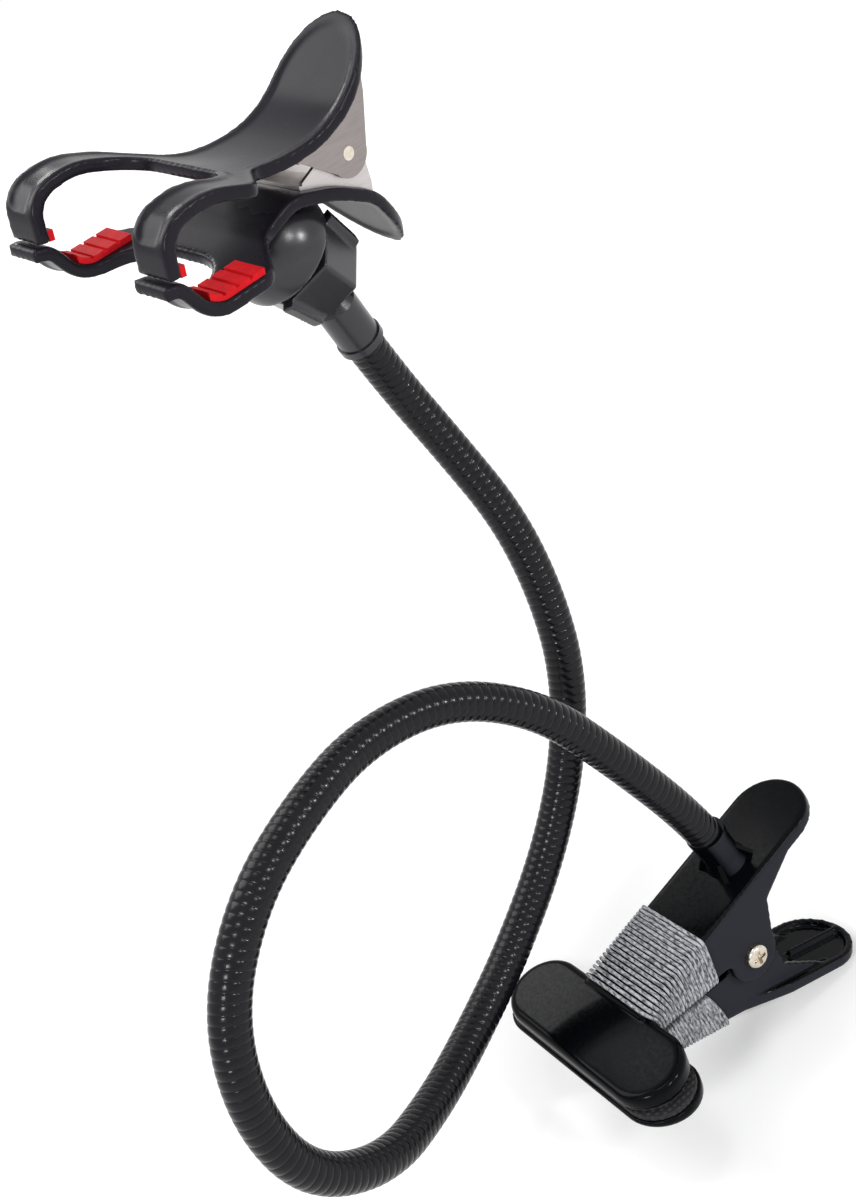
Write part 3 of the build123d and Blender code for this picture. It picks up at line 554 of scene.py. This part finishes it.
# elastic band: rows of covered thread laid round both arms, tucked in where they cross the gap
band = {
    "rows": 19,
    "threadRadius": 0.58,    # mm, as are the other lengths
    "front": 13.0,
    "back": 37.0,
    "clearance": 0.25,
    "halfUpper": 13.5,       # half widths of the arms
    "halfLower": 10.9,
    "hingeY": 51.9,
    "hingeToFace": 21.4,
    "slope": 15.6,           # degrees
    "gap": 2.2,              # half the clear height between the arms
    "bow": 3.2,              # how far forward the first row bows on top
    "rowSteps": 5,           # between two points of a row
    "threadRoundness": 2,    # Blender's bevel resolution
    "stretchOver": 4.0,      # each way from the middle of the gap, when the clamp opens
    # points down one side: arm, mm in from its edge, shares of face and gap that make the height,
    # mm added to it, and the share of the band's width kept there
    "side": [
        ("upper", 3.0, 1.0, 0.0, 0.0, 1.0),
        ("upper", 0.0, 1.0, 0.0, 0.0, 1.0),
        ("upper", 0.0, 0.5, 0.0, 0.0, 1.0),
        ("upper", 0.0, 0.0, 1.0, 0.6, 1.0),
        ("upper", 0.2, 0.0, 1.0, -0.4, 0.98),
        ("lower", 2.6, 0.0, 1.0, -0.9, 0.9),
        ("lower", 2.6, 0.0, 0.0, -0.4, 0.8),
        ("lower", 0.0, 0.0, -1.0, 0.2, 0.8),
        ("lower", 0.0, 0.0, -1.0, -1.2, 0.84),
        ("lower", 0.0, -0.6, 0.0, 0.0, 0.95),
        ("lower", 0.0, -1.0, 0.0, 0.0, 1.0),
        ("lower", 3.0, -1.0, 0.0, 0.0, 1.0),
    ],
}
bandOut = band["clearance"] + band["threadRadius"]
halfWidth = {"upper": band["halfUpper"] + bandOut, "lower": band["halfLower"] + bandOut}
rise = math.tan(math.radians(band["slope"]))
rowReach = band["front"] + band["threadRadius"]
rowWidth = band["back"] - band["front"] - 2 * band["threadRadius"]
bandCurve = bpy.data.curves.new("band_rows", "CURVE")
bandCurve.dimensions = "3D"
bandCurve.resolution_u = band["rowSteps"]
bandCurve.bevel_depth = band["threadRadius"] * mm
bandCurve.bevel_resolution = band["threadRoundness"]
for row in range(band["rows"]):
    share = row / (band["rows"] - 1)
    y = rowReach + share * rowWidth
    face = band["hingeToFace"] + (y - band["hingeY"]) * rise + bandOut
    side = [
        (halfWidth[arm] - inwards, face * ofFace + band["gap"] * ofGap + more, kept)
        for arm, inwards, ofFace, ofGap, more, kept in band["side"]
    ]
    farSide = [(-x, z, kept) for x, z, kept in reversed(side)]
    loop = side + [(0.0, -face, 1.0)] + farSide + [(0.0, face, 1.0)]
    spline = bandCurve.splines.new("NURBS")
    spline.points.add(len(loop) - 1)
    for point, (x, z, kept) in zip(spline.points, loop):
        bowed = band["bow"] * (1 - share) ** 2 if z == face else 0.0
        rowY = rowReach + share * rowWidth * kept - bowed
        point.co = (x * mm, rowY * mm, (z - bowed * rise) * mm, 1.0)
    spline.order_u = 3
    spline.use_cyclic_u = True
bandRows = bpy.data.objects.new("band_rows", bandCurve)
scene.collection.objects.link(bandRows)
startPiece()
bandRows.select_set(True)
bpy.context.view_layer.objects.active = bandRows
bpy.ops.object.convert(target="MESH")
bandRows = bpy.context.object
bandRows.data.materials.clear()
bandRows.data.materials.append(wovenElastic)
bandRows.data.shade_smooth()
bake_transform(bandRows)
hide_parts("elastic_band")
print("band rows:", band["rows"])

# plastic mouldings: the clip's forks with their rims rolled over, and the nut and levers
# with their edges eased; grid in mm
mouldings = [
    {"name": "upper_jaw_moulding", "node": "upper_jaw", "body": "clip_upper",
     "slot": "clip_plastic", "finish": satinAbs, "grid": 0.45, "smoothing": 30},
    {"name": "lower_jaw_moulding", "node": "lower_jaw", "body": "clip_lower",
     "slot": "clip_plastic", "finish": satinAbs, "grid": 0.45, "smoothing": 30},
    {"name": "lock_nut_moulding", "node": "lock_nut", "body": "nut",
     "slot": "clamp_plastic", "finish": smoothAbs, "grid": 0.4, "smoothing": 6},
    {"name": "upper_lever_moulding", "node": "upper_lever", "body": "clamp_and_neck",
     "slot": "clamp_plastic", "finish": glossyAbs, "grid": 0.55, "smoothing": 2},
    {"name": "lower_lever_moulding", "node": "lower_lever", "body": "clamp_lower",
     "slot": "clamp_plastic", "finish": glossyAbs, "grid": 0.55, "smoothing": 2},
]
smoothBy = 0.5   # share of the way to its neighbours that a point moves in each smoothing step
# the ball's cup, left smooth on the lower jaw; mm
cup = {"node": "lower_jaw", "middle": (-38.5, 23.6, 237.3), "reach": 21.5}
for made in mouldings:
    moulding = copyNode(made["name"], made["node"])
    grid = moulding.modifiers.new("grid", "REMESH")
    grid.mode = "VOXEL"
    grid.voxel_size = made["grid"] * mm
    rolled = moulding.modifiers.new("rolled", "SMOOTH")
    rolled.factor = smoothBy
    rolled.iterations = made["smoothing"]
    applyAll(moulding)
    moulding.data.materials.clear()
    moulding.data.materials.append(made["finish"])
    if made["node"] == cup["node"]:
        moulding.data.materials.append(smoothAbs)
        cupMiddle = Vector(cup["middle"]) * mm
        for face in moulding.data.polygons:
            face.material_index = int((face.center - cupMiddle).length < cup["reach"] * mm)
    moulding.data.shade_smooth()
    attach(moulding, made["body"])
    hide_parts(made["node"])
    print(made["name"], "faces:", len(moulding.data.polygons))

# clip spring: the wire, copied and shaded smooth; its winding up along the coil as the clip opens is
# not set up here
spring = {
    "middle": (-36.1, 39.6, 260.1),      # mm, on the pin's axis
    "alongPin": (0.9603, 0.1699, -0.2215),
    "halfTwist": 2.1,                    # mm each way along the pin over which the coil twists
    "smoothTo": 50,                      # degrees between faces that still read as round
}
springWire = copyNode("spring_wire", "clip_spring")
springWire.data.materials.clear()
springWire.data.materials.append(platedSteel)
bpy.ops.object.shade_smooth_by_angle(angle=math.radians(spring["smoothTo"]))
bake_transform(springWire)
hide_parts("clip_spring")
print("spring wire faces:", len(springWire.data.polygons))
